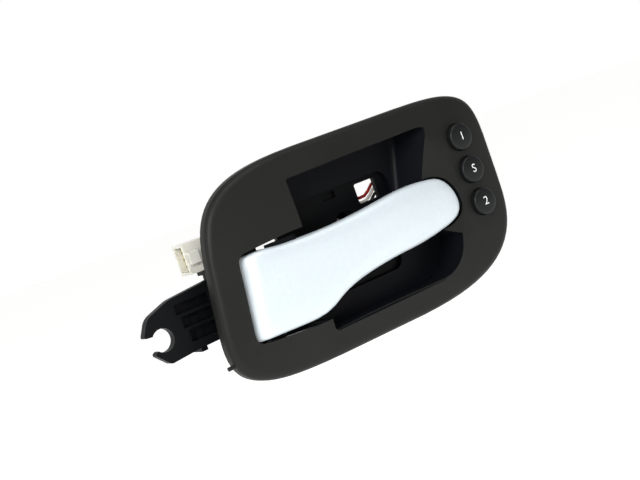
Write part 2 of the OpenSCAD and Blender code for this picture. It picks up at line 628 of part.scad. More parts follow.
module lever_carrier() {
    color(frame_black) difference() {
        union() {
            slab(carrier_y0, carrier_y1) polygon(rounded(pad_corners));
            // knuckles on the pivot and the webs that join them to the pad
            for (z = [[knuckle_top, ear_top - end_play], [ear_low + end_play, knuckle_low]]) {
                bar_z(knuckle_r, z[0], z[1], pivot_x, pivot_y);
                block([pivot_x - 2, carrier_y1 - 1, max(z[0], -20)],
                    [pivot_x + knuckle_r, pivot_y, min(z[1], 5)]);
            }
            // flange that closes the gap above the lever
            block([-50, carrier_y1 - 1.6, lever_z1 - 3.4], [-35, carrier_y1, ear_top - 2.4]);
            block([-50, carrier_y1 - 1.6, 3], [-35, carrier_y1, lever_z1 - 3]);
            // stop rib
            block([bumper.x - 2, carrier_y0 + 1, bumper.y - 6], [bumper.x + 2, pivot_y, bumper.y + 6]);
            block([-50, carrier_y0 + 1, bumper.y - 1], [bumper.x, pivot_y - 1, bumper.y + 1]);
        }
        bar_z(pin_r + pin_fit, ear_low - 1, ear_top + 1, pivot_x, pivot_y);
        // room for the spring between the knuckles
        bar_z(coil_r + spring_wire / 2 + touch, knuckle_low, knuckle_top, pivot_x, pivot_y);
        for (p = carrier_screw_places) bar_y(screw_r + 0.15, carrier_y0 - 1, carrier_y1 + 4, p.x, p.y);
    }
}

// Crank for the cable, welded to the back of the lower knuckle
module lever_crank() {
    color(frame_black) difference() {
        union() {
            block([pivot_x - 3.6, pivot_y + 1, crank_z[0]], [pivot_x + 3.6, crank_y, crank_z[1]]);
            bar_z(core_r + 2.4, crank_z[0], crank_z[1], pivot_x, crank_y);
        }
        bar_z(knuckle_r, crank_z[0] - 1, crank_z[1] + 1, pivot_x, pivot_y);
        bar_z(core_r, crank_z[0] - 1, crank_z[1] + 1, pivot_x, crank_y);
        // slit that lets the cable's core in
        block([pivot_x - 8, crank_y - 0.9, crank_z[0] - 1], [pivot_x, crank_y + 0.9, crank_z[1] + 1]);
    }
}

pin_z0 = ear_low - ear_t - 2.4;
pin_z1 = ear_top + ear_t;
groove_z = ear_low - ear_t - 1.4;
clip_t = 0.8;

module pivot_pin() {
    color(steel) difference() {
        union() {
            bar_z(pin_r, pin_z0, pin_z1, pivot_x, pivot_y);
            bar_z(pin_r * 1.7, pin_z1, pin_z1 + 1.3, pivot_x, pivot_y);
        }
        difference() {
            bar_z(pin_r + 1, groove_z, groove_z + clip_t + 0.1, pivot_x, pivot_y);
            bar_z(pin_r - 0.4, groove_z - 1, groove_z + clip_t + 1, pivot_x, pivot_y);
        }
    }
}

module pin_clip() {
    color(steel) difference() {
        bar_z(pin_r * 2, groove_z + 0.05, groove_z + 0.05 + clip_t, pivot_x, pivot_y);
        bar_z(pin_r - 0.35, groove_z - 1, groove_z + clip_t + 1, pivot_x, pivot_y);
        // open side of the clip and its two gripping notches
        block([pivot_x, pivot_y - 1.1, groove_z - 1], [pivot_x + 6, pivot_y + 1.1, groove_z + 3]);
        for (s = [-1, 1]) bar_z(0.9, groove_z - 1, groove_z + 3, pivot_x - 1.1, pivot_y + 2.4 * s);
    }
}

module spring_sleeve() {
    color(rubber_black) difference() {
        bar_z(sleeve_o, knuckle_low + 0.15, knuckle_top - 0.15, pivot_x, pivot_y);
        bar_z(pin_r + pin_fit, knuckle_low - 1, knuckle_top + 1, pivot_x, pivot_y);
    }
}

// Centre line of the return spring: a leg on the frame, the coil, and a leg on the carrier
coil_steps = 12;
coil_z0 = coil_mid - coil_h / 2;
function coil_point(i) =
    let (a = 90 + 360 * i / coil_steps)
    [pivot_x + coil_r * cos(a), pivot_y + coil_r * sin(a), coil_z0 + coil_pitch * i / coil_steps];
frame_leg_y = frame_y + arm_step + arm_t + touch + spring_wire / 2;
coil_end = coil_steps * spring_turns + 3;
spring_path = concat(
    [[pivot_x - 11.6, frame_leg_y, coil_z0 - 1], [pivot_x - 8, frame_leg_y, coil_z0 - 1],
        [pivot_x - 5.6, frame_leg_y - 0.5, coil_z0 - 0.9], [pivot_x - 4.6, frame_leg_y - 2.6, coil_z0 - 0.8],
        [pivot_x - 3.6, pivot_y + coil_r + 5, coil_z0 - 0.6],
        [pivot_x - 2, pivot_y + coil_r + 1, coil_z0 - 0.3]],
    [for (i = [0:coil_end]) coil_point(i)],
    [[pivot_x - coil_r + 0.6, pivot_y - 2.1, coil_z0 + coil_h + 0.5],
        [pivot_x - 2.2, carrier_y1 + touch + spring_wire / 2, coil_z0 + coil_h + 0.6]]);

module return_spring() {
    color(steel) tube(spring_path, spring_wire / 2, 6);
}

module lever_bumper() {
    color(rubber_black) {
        bar_y(2.8, bumper_y, frame_y, bumper.x, bumper.y, 3.4);
        bar_y(stem_r, frame_y - 1, frame_y + 1.8, bumper.x, bumper.y);
    }
}

// Pan head screw along Y with its head at y_head, pointing to y_tip, and a cross recess
module screw(p, y_head, y_tip) {
    out = sign(y_head - y_tip);
    y1 = y_head + out * 1.8;
    difference() {
        union() {
            bar_y(screw_r - 0.25, min(y_head, y_tip), max(y_head, y_tip), p.x, p.y);
            bar_y(screw_head_r, min(y_head, y1), max(y_head, y1), p.x, p.y);
        }
        for (a = [0, 90]) translate([p.x, y1, p.y]) rotate([0, a, 0]) cube([3, 2, 0.7], center = true);
    }
}

module carrier_screws() {
    color(steel) for (p = carrier_screw_places) screw(p, carrier_y1, carrier_y0 - 1.4);
}

module frame_screws() {
    color(steel) for (p = frame_screw_places) screw(p, frame_back, frame_y - screw_l + frame_t);
}

// One push button: cap with a soft edge, skirt, and flange behind the face
module button(k) {
    p = button_places[k];
    soft = 1;
    color(button_black) translate([p.x, 0, p.y]) rotate([90, 0, 0]) rotate_extrude($fn = 64)
        polygon(concat([[0, -flange_y - flange_t], [flange_r, -flange_y - flange_t], [flange_r, -flange_y]],
            [[button_r, -flange_y], [button_r, -cap_y - soft]],
            [for (a = [15:15:90]) [button_r - soft + soft * cos(a), -cap_y - soft + soft * sin(a)]],
            [for (r = [4.4, 3.2, 1.8, 0]) [r, -cap_y + button_dome * (1 - pow(r / (button_r - soft), 2))]]));
}

module keypad() {
    color(rubber_black) {
        block([case_x0 + case_wall + 0.2, pad_y, case_z0 + case_wall + 0.2],
            [case_x0 + case_w - case_wall - 0.2, pad_y + mat_t, case_z0 + case_h - case_wall - 0.2]);
        for (p = button_places)
            bar_y(dome_r, pad_y - dome_h + touch / 3, pad_y + 0.2, p.x, p.y, dome_r * 1.4);
    }
}

module switch_board() {
    color("#2f6b3c") block([case_x0 + case_wall + 0.3, board_y, case_z0 + case_wall + 0.3],
        [case_x0 + case_w - case_wall - 0.3, board_y + board_t, case_z0 + case_h - case_wall - 0.3]);
}

switch_ear = 3.2;
ear_hw = 3.3;
switch_screw_places = [for (z = [case_z0 - switch_ear, case_z0 + case_h + switch_ear])
    [case_x0 + case_w / 2, z]];
outlet = [case_x0 + case_w / 2 - 2, 2];

module switch_case() {
    color(frame_black) difference() {
        union() {
            block([case_x0, pad_y, case_z0], [case_x0 + case_w, case_y1, case_z0 + case_h]);
            for (p = switch_screw_places) bar_y(ear_hw, pad_y, pad_y + 2, p.x, p.y);
            block([switch_screw_places[0].x - ear_hw, pad_y, case_z0 - switch_ear],
                [switch_screw_places[0].x + ear_hw, pad_y + 2, case_z0 + case_h + switch_ear]);
            // outlet for the wires
            block([outlet.x - 3, case_y1 - 1, outlet.y - 5], [outlet.x + 3, case_y1 + 4, outlet.y + 5]);
        }
        block([case_x0 + case_wall, pad_y - 1, case_z0 + case_wall],
            [case_x0 + case_w - case_wall, board_y, case_z0 + case_h - case_wall]);
        block([case_x0 + case_wall, board_y - 1, case_z0 + case_wall],
            [case_x0 + case_w - case_wall, board_y + board_t, case_z0 + case_h - case_wall]);
        block([case_x0 + case_wall + 1.2, board_y, case_z0 + case_wall + 1.2],
            [case_x0 + case_w - case_wall - 1.2, case_y1 - case_wall, case_z0 + case_h - case_wall - 1.2]);
        for (p = switch_screw_places) bar_y(screw_r + 0.15, pad_y - 1, pad_y + 3, p.x, p.y);
        for (w = wire_lanes)
            bar_y(wire_r + 0.15, case_y1 - case_wall - 1, case_y1 + 5, outlet.x, outlet.y - w);
    }
}

module switch_screws() {
    color(steel) for (p = switch_screw_places) screw(p, pad_y + 2, pad_y - 3.8);
}

// Folded sheet clip that straddles a tower, with a spring wing on each side
module bezel_clip(p) {
    h = tower_t / 2 + 0.1;
    o = h + clip_sheet;
    top = tower_y + 0.1;
    translate([p.x - tower_w / 2 + 1.5, 0, p.y]) rotate([90, 0, 90]) linear_extrude(tower_w - 3) {
        difference() {
            translate([1, -o]) square([top + clip_sheet - 1, 2 * o]);
            translate([0, -h]) square([top, 2 * h]);
        }
        for (m = [0, 1]) mirror([0, m]) polygon([[top - 0.4, h + 0.1], [top + 0.2, o], [top - 3.4, o + 1.9],
            [top - 5, o + 0.7], [top - 4.6, o + 0.3], [top - 3.5, o + 1.1], [top - 1.2, o - 0.2]]);
    }
}

module bezel_clips() {
    color(steel) for (p = tower_places) bezel_clip(p);
}

// Wires: from the switch unit, along the back of the frame, into the connector
wire_lanes = [-2.4, 0, 2.4];
wire_y = frame_back + frame_rib_h + 2.4;
connector_x1 = -65.4;
connector_z0 = 9;
connector_h = 13.5;
connector_l = 11;
connector_d = 10;
connector_y0 = frame_back + touch;
cavity_pitch = 3.1;
cavity_y = connector_y0 + connector_d / 2;
cavity_z = [for (k = [-1:1]) connector_z0 + connector_h / 2 - k * cavity_pitch];
function wire_route(k) =
    let (w = wire_lanes[k], y0 = case_y1 + 1)
    [[outlet.x, y0, outlet.y - w], [outlet.x, y0 + 3, outlet.y - w],
        [outlet.x - 1.5, y0 + 8, outlet.y + 0.3 - w], [outlet.x - 8, wire_y - 0.6, 4 - w],
        [42, wire_y, 11 - w], [32, wire_y, 15 - w], [23.5, wire_y, 10 - w], [14.5, wire_y, 11.5 - w],
        [4, wire_y, 17.6 - w], [-8, wire_y, 19.6 - w], [-20, wire_y, 19.5 - w],
        [-40, wire_y, 18.2 - w], [-54, wire_y - 0.6, 16.6 - w * 1.2],
        [connector_x1 + 4, cavity_y, cavity_z[k]], [connector_x1 - 2, cavity_y, cavity_z[k]]];

module wire_red() {
    color("#b4281e") tube(spline(wire_route(0), 3), wire_r);
}
module wire_white() {
    color("#e8e6e0") tube(spline(wire_route(1), 3), wire_r);
}
module wire_black() {
    color("#202020") tube(spline(wire_route(2), 3), wire_r);
}

// Saddle that snaps over a rib of the frame and holds the wires
tie_x = rib_x[0] + rib_t / 2;
tie_w = 4;
module wire_tie() {
    y0 = frame_back + frame_rib_h + 0.1;
    color(rubber_black) difference() {
        union() {
            block([tie_x - tie_w / 2, y0, 14.4], [tie_x + tie_w / 2, wire_y + 2.2, 24.6]);
            block([tie_x - tie_w / 2, y0 - 2.6, 16], [tie_x + tie_w / 2, y0 + 0.5, 21.6]);
        }
        block([tie_x - tie_w, wire_y - 1.1, 15.6], [tie_x + tie_w, wire_y + 1.1, 23.4]);
        block([tie_x - rib_t / 2 - 0.1, y0 - 4, 15], [tie_x + rib_t / 2 + 0.1, y0, 22.5]);
        // slit that lets the wires in
        block([tie_x - tie_w, wire_y, 19], [tie_x + tie_w, wire_y + 4, 20]);
    }
}

mouth_l = 7;
module connector() {
    x0 = connector_x1 - connector_l;
    y1 = connector_y0 + connector_d;
    z1 = connector_z0 + connector_h;
    color(connector_white) difference() {
        union() {
            block([x0, connector_y0, connector_z0], [connector_x1, y1, z1]);
            // latch tongue and its bridge on the front
            block([x0 + 1, connector_y0 - 1.6, connector_z0 + 4],
                [x0 + 6, connector_y0 + 0.5, connector_z0 + 9.5]);
        }
        // mouth for the mating plug
        block([x0 - 1, connector_y0 + 1.2, connector_z0 + 1.2], [x0 + mouth_l, y1 - 1.2, z1 - 1.2]);
        // wire cavities
        for (z = cavity_z) translate([x0 + mouth_l - 1, cavity_y, z])
            rotate([0, 90, 0]) cylinder(r = wire_r + 0.1, h = 10);
        block([x0 - 1, connector_y0 - 0.8, connector_z0 + 5.2],
            [x0 + 4.6, connector_y0 + 0.2, connector_z0 + 8.3]);
    }
}

module connector_lock() {
    x0 = connector_x1 - connector_l;
    hole = 0.9;
    color("#e2dcc0") difference() {
        block([x0 + 3, connector_y0 + 1.5, connector_z0 + 1.5],
            [x0 + mouth_l - 0.1, connector_y0 + connector_d - 1.5, connector_z0 + connector_h - 1.5]);
        for (z = cavity_z) block([x0 + 2, cavity_y - hole, z - hole], [x0 + 8, cavity_y + hole, z + hole]);
    }
}

module connector_terminals() {
    x0 = connector_x1 - connector_l;
    color("#c9b36a") for (z = cavity_z)
        block([x0 + 1, cavity_y - 0.5, z - 0.5], [x0 + mouth_l - 0.1, cavity_y + 0.5, z + 0.5]);
}

bezel();
frame();
pivot_bracket();
lever();
lever_carrier();
lever_crank();
pivot_pin();
pin_clip();
spring_sleeve();
return_spring();
lever_bumper();
carrier_screws();
button(0);  // button_1
button(1);  // button_set
button(2);  // button_2
keypad();
switch_board();
switch_case();
switch_screws();
frame_screws();
bezel_clips();
wire_red();
wire_white();
wire_black();
wire_tie();
connector();
connector_lock();
connector_terminals();
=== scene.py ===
"""The dressed scene of an inside door handle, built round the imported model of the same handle.

Each sub-assembly is a class that makes or dresses its own pieces. All lengths in the fields are
millimetres in the handle's frame; they are turned to metres where a piece is placed.
"""
import logging
import math
from dataclasses import dataclass
from enum import Enum
from typing import Callable, Optional, Sequence

import bmesh
import bpy
from mathutils import Matrix, Vector


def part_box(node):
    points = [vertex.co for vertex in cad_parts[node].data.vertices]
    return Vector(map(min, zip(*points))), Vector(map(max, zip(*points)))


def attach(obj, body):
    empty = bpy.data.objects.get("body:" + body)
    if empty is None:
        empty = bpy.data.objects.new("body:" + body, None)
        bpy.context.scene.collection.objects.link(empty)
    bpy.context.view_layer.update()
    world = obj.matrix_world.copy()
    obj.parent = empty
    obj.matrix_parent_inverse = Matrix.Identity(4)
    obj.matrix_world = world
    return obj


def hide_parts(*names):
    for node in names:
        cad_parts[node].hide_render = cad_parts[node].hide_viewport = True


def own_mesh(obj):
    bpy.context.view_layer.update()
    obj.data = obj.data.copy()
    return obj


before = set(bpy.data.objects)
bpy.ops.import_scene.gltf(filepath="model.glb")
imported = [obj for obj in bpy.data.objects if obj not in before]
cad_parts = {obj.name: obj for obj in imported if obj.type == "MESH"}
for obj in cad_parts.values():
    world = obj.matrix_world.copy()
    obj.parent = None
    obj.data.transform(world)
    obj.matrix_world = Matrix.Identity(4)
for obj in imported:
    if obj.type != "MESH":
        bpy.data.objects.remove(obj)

log = logging.getLogger("door_handle")

MM = 0.001
PHOTO_SIZE = (640, 480)
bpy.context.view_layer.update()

# Points of a node's mesh that are nearer than this are one point
MERGE_MM = 0.004
# Faces that meet at a smaller angle than this lie flat and become one
FLAT_DEG = 0.6
# Edges sharper than this stay sharp in the shading
SMOOTH_DEG = 35.0
# Edges sharper than this get a radius
SHARP_DEG = 40.0

# Flow lines and drawn lines keep this share of their pattern's scale along the axis
DRAWN_OUT = 0.08
# Scale of the finer pattern inside a spark grain, as a multiple of the grain's own
FINER = 1.7
# Octaves of the noise in a line or flake, in a spark grain and in the colour's patches
LINE_DETAIL, GRAIN_DETAIL, TONE_DETAIL = 2.0, 3.0, 4.0
# Values of the noise between which the colour goes from its darkest to its lightest
TONE_SPAN = (0.3, 0.7)
# Heights of the relief between which the roughness goes from its least to its most
GLOSS_SPAN = (0.2, 0.8)


class Relief(Enum):
    """Kinds of fine surface relief that a finish may have."""

    SMOOTH = "smooth"
    SPARK_GRAIN = "spark grain"
    FIBRE_FLOW = "fibre flow"
    PAINT_FLAKE = "paint flake"
    DRAWN = "drawn lines"


class Axis(Enum):
    """Axis of the handle's frame along which a piece was drawn or extruded."""

    ALONG = 0
    UP = 2


def linear_colour(hex_code: str) -> tuple[float, float, float, float]:
    """Turns an sRGB hex colour into linear values.

    Args:
        hex_code: Colour such as "#2d2e2c".

    Returns:
        Red, green, blue and alpha, linear.
    """
    parts = [int(hex_code[i:i + 2], 16) / 255 for i in (1, 3, 5)]
    linear = [c / 12.92 if c <= 0.04045 else ((c + 0.055) / 1.055) ** 2.4 for c in parts]
    return (linear[0], linear[1], linear[2], 1.0)


def add_node(tree: bpy.types.NodeTree, kind: str, inputs: Optional[dict] = None,
             **settings) -> bpy.types.Node:
    """Adds a shader node with its settings, values and links.

    Args:
        tree: Node tree that gets the node.
        kind: Node type, such as "ShaderNodeBump".
        inputs: Values or output sockets by the name or index of the input.
        **settings: Attributes of the node.

    Returns:
        The new node.
    """
    node = tree.nodes.new(kind)
    for name, value in settings.items():
        setattr(node, name, value)
    for key, value in (inputs or {}).items():
        if isinstance(value, bpy.types.NodeSocket):
            tree.links.new(value, node.inputs[key])
        else:
            node.inputs[key].default_value = value
    return node


def per_metre(size_mm: float) -> float:
    """Scale of a pattern whose features measure size_mm, in Object coordinates."""
    return 1 / (size_mm * MM)


@dataclass(frozen=True)
class Finish:
    """Finish of one real material: its colour, gloss and fine relief.

    Attributes:
        name: What the real material is and how its surface was made.
        slot: Slot of the record that the finish belongs to. Not used.
        colour: Base colour as sRGB hex.
        roughness: Mean roughness.
        metallic: 1 for bare metal, less for a metallic paint.
        ior: Index of refraction of a plastic or rubber.
        specular: Specular level, below 0.5 for a surface with little shine.
        relief: Kind of fine relief.
        relief_mm: Size of the relief's features.
        depth_mm: Depth of the relief.
        shade: How far the colour varies over the piece, as a share.
        shade_mm: Size of the colour's patches.
        gloss_spread: How far the roughness varies.
        axis: Axis that drawn lines or flow lines follow.
        glow: Share of light that passes into the material and scatters.
        glow_mm: How far red, green and blue light scatter in it.
        coat: Weight of a clear coat.
        lit: Light that the surface gives off by itself.
    """

    name: str
    slot: str
    colour: str
    roughness: float
    metallic: float = 0.0
    ior: float = 1.5
    specular: float = 0.5
    relief: Relief = Relief.SMOOTH
    relief_mm: float = 0.5
    depth_mm: float = 0.01
    shade: float = 0.06
    shade_mm: float = 12.0
    gloss_spread: float = 0.04
    axis: Axis = Axis.ALONG
    glow: float = 0.0
    glow_mm: Sequence[float] = (1.6, 1.5, 1.2)
    coat: float = 0.0
    lit: float = 0.0

    def height(self, tree: bpy.types.NodeTree, place: bpy.types.NodeSocket) -> bpy.types.NodeSocket:
        """Makes the height pattern of the relief.

        Args:
            tree: Node tree of the material.
            place: Object coordinates.

        Returns:
            Socket with a height from 0 to 1.
        """
        scale = per_metre(self.relief_mm)
        if self.relief is Relief.SPARK_GRAIN:
            pits = add_node(tree, "ShaderNodeTexVoronoi", {"Vector": place, "Scale": scale},
                            feature="SMOOTH_F1")
            fine = add_node(tree, "ShaderNodeTexNoise", {
                "Vector": place, "Scale": scale * FINER, "Detail": GRAIN_DETAIL})
            both = add_node(tree, "ShaderNodeMath", {
                0: pits.outputs["Distance"], 1: fine.outputs["Fac"]}, operation="MULTIPLY")
            return both.outputs["Value"]
        if self.relief in (Relief.FIBRE_FLOW, Relief.DRAWN):
            stretch = [1.0, 1.0, 1.0]
            stretch[self.axis.value] = DRAWN_OUT
            drawn = add_node(tree, "ShaderNodeMapping", {"Vector": place, "Scale": stretch})
            place = drawn.outputs["Vector"]
        noise = add_node(tree, "ShaderNodeTexNoise", {
            "Vector": place, "Scale": scale, "Detail": LINE_DETAIL})
        return noise.outputs["Fac"]

    def build(self) -> bpy.types.Material:
        """Makes the Blender material.

        Returns:
            The material, with a colour, roughness and normal of its own nodes.
        """
        material = bpy.data.materials.new(self.name)
        material.use_nodes = True
        tree = material.node_tree
        tree.nodes.clear()
        place = add_node(tree, "ShaderNodeTexCoord").outputs["Object"]
        patches = add_node(tree, "ShaderNodeTexNoise", {
            "Vector": place, "Scale": per_metre(self.shade_mm), "Detail": TONE_DETAIL})
        base = linear_colour(self.colour)
        tones = add_node(tree, "ShaderNodeValToRGB", {"Fac": patches.outputs["Fac"]})
        ramp = tones.color_ramp.elements
        ramp[0].position, ramp[1].position = TONE_SPAN
        ramp[0].color = [c * (1 - self.shade) for c in base[:3]] + [1.0]
        ramp[1].color = [min(1.0, c * (1 + self.shade)) for c in base[:3]] + [1.0]
        height = self.height(tree, place)
        gloss = add_node(tree, "ShaderNodeMapRange", {
            "Value": height, "From Min": GLOSS_SPAN[0], "From Max": GLOSS_SPAN[1],
            "To Min": self.roughness - self.gloss_spread, "To Max": self.roughness + self.gloss_spread})
        bump = add_node(tree, "ShaderNodeBump", {
            "Height": height, "Strength": 1.0, "Distance": self.depth_mm * MM})
        shader = add_node(tree, "ShaderNodeBsdfPrincipled", {
            "Base Color": tones.outputs["Color"], "Roughness": gloss.outputs["Result"],
            "Normal": bump.outputs["Normal"], "Metallic": self.metallic, "IOR": self.ior,
            "Specular IOR Level": self.specular, "Coat Weight": self.coat,
            "Emission Color": base, "Emission Strength": self.lit})
        if self.glow > 0:
            shader.inputs["Subsurface Weight"].default_value = self.glow
            shader.inputs["Subsurface Radius"].default_value = [reach * MM for reach in self.glow_mm]
            shader.inputs["Subsurface Scale"].default_value = 1.0
        add_node(tree, "ShaderNodeOutputMaterial", {"Surface": shader.outputs["BSDF"]})
        return material


# Grain, flakes and lines are finer than this on the real surfaces. They are drawn as coarse as they
# need to be to show in the render.

# Moulded ABS with a fine spark-eroded grain: charcoal, dull, with a soft sheen on curved edges
GRAINED_ABS = Finish("abs_spark_grained", "bezel_plastic", "#181917", 0.5, specular=0.17,
                     relief=Relief.SPARK_GRAIN, relief_mm=0.6, depth_mm=0.02, shade=0.1, shade_mm=25)
# The same moulding inside the recess, painted near black and bluish with little shine as painted shade of
# the recess; a little smoother
RECESS_SHADE_ABS = Finish("abs_painted_recess_shade", "bezel_plastic", "#101115", 0.42, specular=0.08,
                      relief=Relief.SPARK_GRAIN, relief_mm=0.8, depth_mm=0.008, shade=0.1, shade_mm=25)
# Glass-filled nylon, as moulded: blue-black, with faint flow lines from the glass fibres
GLASS_NYLON = Finish("nylon_glass_filled", "frame_plastic", "#08090b", 0.45, specular=0.1,
                     relief=Relief.FIBRE_FLOW, relief_mm=0.9, depth_mm=0.015, shade=0.14, shade_mm=8)
# Satin silver paint over a plastic moulding: looks almost white, with a flake under a dull lacquer
SATIN_SILVER = Finish("paint_satin_silver", "satin_silver", "#c6cfd4", 0.4, metallic=0.2,
                      relief=Relief.PAINT_FLAKE, relief_mm=0.35, depth_mm=0.004, shade=0.02, shade_mm=2,
                      coat=0.12)
# Soft-touch coated ABS: dull black that shows a broad, weak highlight
SOFT_TOUCH = Finish("abs_soft_touch", "button_plastic", "#111213", 0.42, specular=0.22,
                    relief=Relief.SPARK_GRAIN, relief_mm=0.3, depth_mm=0.008, shade=0.08, shade_mm=3)
# Pad-printed ink, matt white
LEGEND_INK = Finish("ink_pad_printed", "button_plastic", "#d9dcda", 0.6,
                    relief_mm=0.2, depth_mm=0.002, shade=0.03, shade_mm=0.6)
# Zinc-plated steel: bluish grey and evenly bright
ZINC_STEEL = Finish("steel_zinc_plated", "zinc_steel", "#b9bdbf", 0.3, metallic=1.0,
                    relief=Relief.PAINT_FLAKE, relief_mm=0.5, depth_mm=0.003, shade=0.08, shade_mm=1.5)
# Hard-drawn spring steel: darker than the zinc, with upright drawn lines
SPRING_STEEL = Finish("steel_spring_drawn", "spring_steel", "#8d9092", 0.28, metallic=1.0,
                      relief=Relief.DRAWN, relief_mm=0.25, depth_mm=0.003, shade=0.1, shade_mm=2,
                      axis=Axis.UP)
# Acetal tube as extruded: waxy black, with faint lines along it
ACETAL = Finish("acetal_black", "sleeve_plastic", "#232323", 0.35,
                relief=Relief.DRAWN, relief_mm=0.3, depth_mm=0.003, shade=0.04, shade_mm=3, axis=Axis.UP)
# Moulded rubber, dull with a slight bloom
BUMPER_RUBBER = Finish("rubber_moulded", "black_rubber", "#171717", 0.75, specular=0.25,
                       relief=Relief.SPARK_GRAIN, relief_mm=0.3, depth_mm=0.01, shade=0.15, shade_mm=2)
# Silicone keypad, matt grey and a little translucent
KEYPAD_SILICONE = Finish("silicone_grey", "grey_silicone", "#8a8c8e", 0.62, ior=1.41,
                         relief=Relief.SPARK_GRAIN, relief_mm=0.3, depth_mm=0.005, shade=0.05, shade_mm=4,
                         glow=0.2)
# Glass-epoxy board under green solder resist
BOARD_EPOXY = Finish("board_solder_resist", "board_laminate", "#1f5a31", 0.3,
                     relief=Relief.FIBRE_FLOW, relief_mm=0.4, depth_mm=0.004, shade=0.15, shade_mm=1.2)
# Extruded PVC wire sheaths, smooth and slightly waxy
RED_PVC = Finish("pvc_sheath_red", "red_sheath", "#b4281e", 0.36,
                 relief=Relief.DRAWN, relief_mm=0.3, depth_mm=0.003, shade=0.06, shade_mm=3)
WHITE_PVC = Finish("pvc_sheath_white", "white_sheath", "#e6e3db", 0.36,
                   relief=Relief.DRAWN, relief_mm=0.3, depth_mm=0.003, shade=0.04, shade_mm=3)
BLACK_PVC = Finish("pvc_sheath_black", "black_sheath", "#1a1a1b", 0.36,
                   relief=Relief.DRAWN, relief_mm=0.3, depth_mm=0.003, shade=0.06, shade_mm=3)
# Natural nylon of the plug housing: milky and a little translucent
NATURAL_NYLON = Finish("nylon_natural", "connector_nylon", "#c8c7bf", 0.34,
                       relief=Relief.FIBRE_FLOW, relief_mm=0.8, depth_mm=0.008, shade=0.04, shade_mm=4,
                       glow=0.5)
# Cream nylon of the lock inside the housing, a little duller and less translucent
CREAM_NYLON = Finish("nylon_cream", "lock_nylon", "#ddd2a4", 0.4,
                     relief=Relief.FIBRE_FLOW, relief_mm=0.8, depth_mm=0.006, shade=0.05, shade_mm=3,
                     glow=0.3)
# Tin-plated brass strip, pale yellow with drawn lines
TINNED_BRASS = Finish("brass_tinned", "tinned_brass", "#c8bb95", 0.3, metallic=1.0,
                      relief=Relief.DRAWN, relief_mm=0.2, depth_mm=0.002, shade=0.08, shade_mm=1)
# White table under the handle, which gives off light so that it stays as pale as what lies behind it
TABLE_WHITE = Finish("table_white", "bezel_plastic", "#f4f4f3", 0.9, specular=0.05,
                     relief_mm=2, depth_mm=0.0, shade=0.004, shade_mm=200, lit=0.6)

_built: dict[str, bpy.types.Material] = {}


def material_of(finish: Finish) -> bpy.types.Material:
    """Gives the material of a finish, made the first time that it is asked for.

    Args:
        finish: The finish.

    Returns:
        Its material.
    """
    if finish.name not in _built:
        _built[finish.name] = finish.build()
    return _built[finish.name]


def only(piece: bpy.types.Object) -> None:
    """Deselects everything, then selects one piece and makes it active.

    Args:
        piece: The piece.
    """
    bpy.ops.object.select_all(action="DESELECT")
    piece.select_set(True)
    bpy.context.view_layer.objects.active = piece


def apply_modifier(piece: bpy.types.Object, kind: str, **settings) -> None:
    """Adds a modifier to a piece and applies it.

    Args:
        piece: Mesh object.
        kind: Modifier type, such as "BEVEL".
        **settings: Attributes of the modifier.
    """
    modifier = piece.modifiers.new(kind.lower(), kind)
    for name, value in settings.items():
        setattr(modifier, name, value)
    only(piece)
    bpy.ops.object.modifier_apply(modifier=modifier.name)


def finish_piece(piece: bpy.types.Object, name: str, finish: Finish, body: str,
                 replaces: Sequence[str] = (), weighted: bool = False) -> bpy.types.Object:
    """Settles a finished piece: place in its mesh, shading, name, material and body.

    Args:
        piece: Mesh object.
        name: Name of the piece.
        finish: Its finish.
        body: Body of the model that it rides on.
        replaces: Nodes of the model that it stands for.
        weighted: Whether large faces settle the shading of the small ones beside them.

    Returns:
        The piece.
    """
    only(piece)
    bpy.ops.object.transform_apply(location=True, rotation=True, scale=True)
    bpy.ops.object.shade_smooth_by_angle(angle=math.radians(SMOOTH_DEG))
    if weighted:
        apply_modifier(piece, "WEIGHTED_NORMAL", mode="FACE_AREA", keep_sharp=True)
    piece.name = name
    piece.data.name = name
    piece.data.materials.clear()
    piece.data.materials.append(material_of(finish))
    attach(piece, body)
    if replaces:
        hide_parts(*replaces)
    log.info("%s: %d faces, %s, on %s", name, len(piece.data.polygons), finish.name, body)
    return piece


def merged_copy(node: str) -> bpy.types.Object:
    """Copies a node's mesh, joins its loose triangles and dissolves what lies flat.

    Args:
        node: Name of the node.

    Returns:
        The copy, as a new object.
    """
    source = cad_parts[node]
    piece = bpy.data.objects.new(node + "_copy", source.data.copy())
    bpy.context.scene.collection.objects.link(piece)
    only(piece)
    bpy.ops.object.mode_set(mode="EDIT")
    bpy.ops.mesh.select_all(action="SELECT")
    bpy.ops.mesh.remove_doubles(threshold=MERGE_MM * MM)
    bpy.ops.mesh.customdata_custom_splitnormals_clear()
    bpy.ops.mesh.dissolve_limited(angle_limit=math.radians(FLAT_DEG))
    bpy.ops.object.mode_set(mode="OBJECT")
    return piece


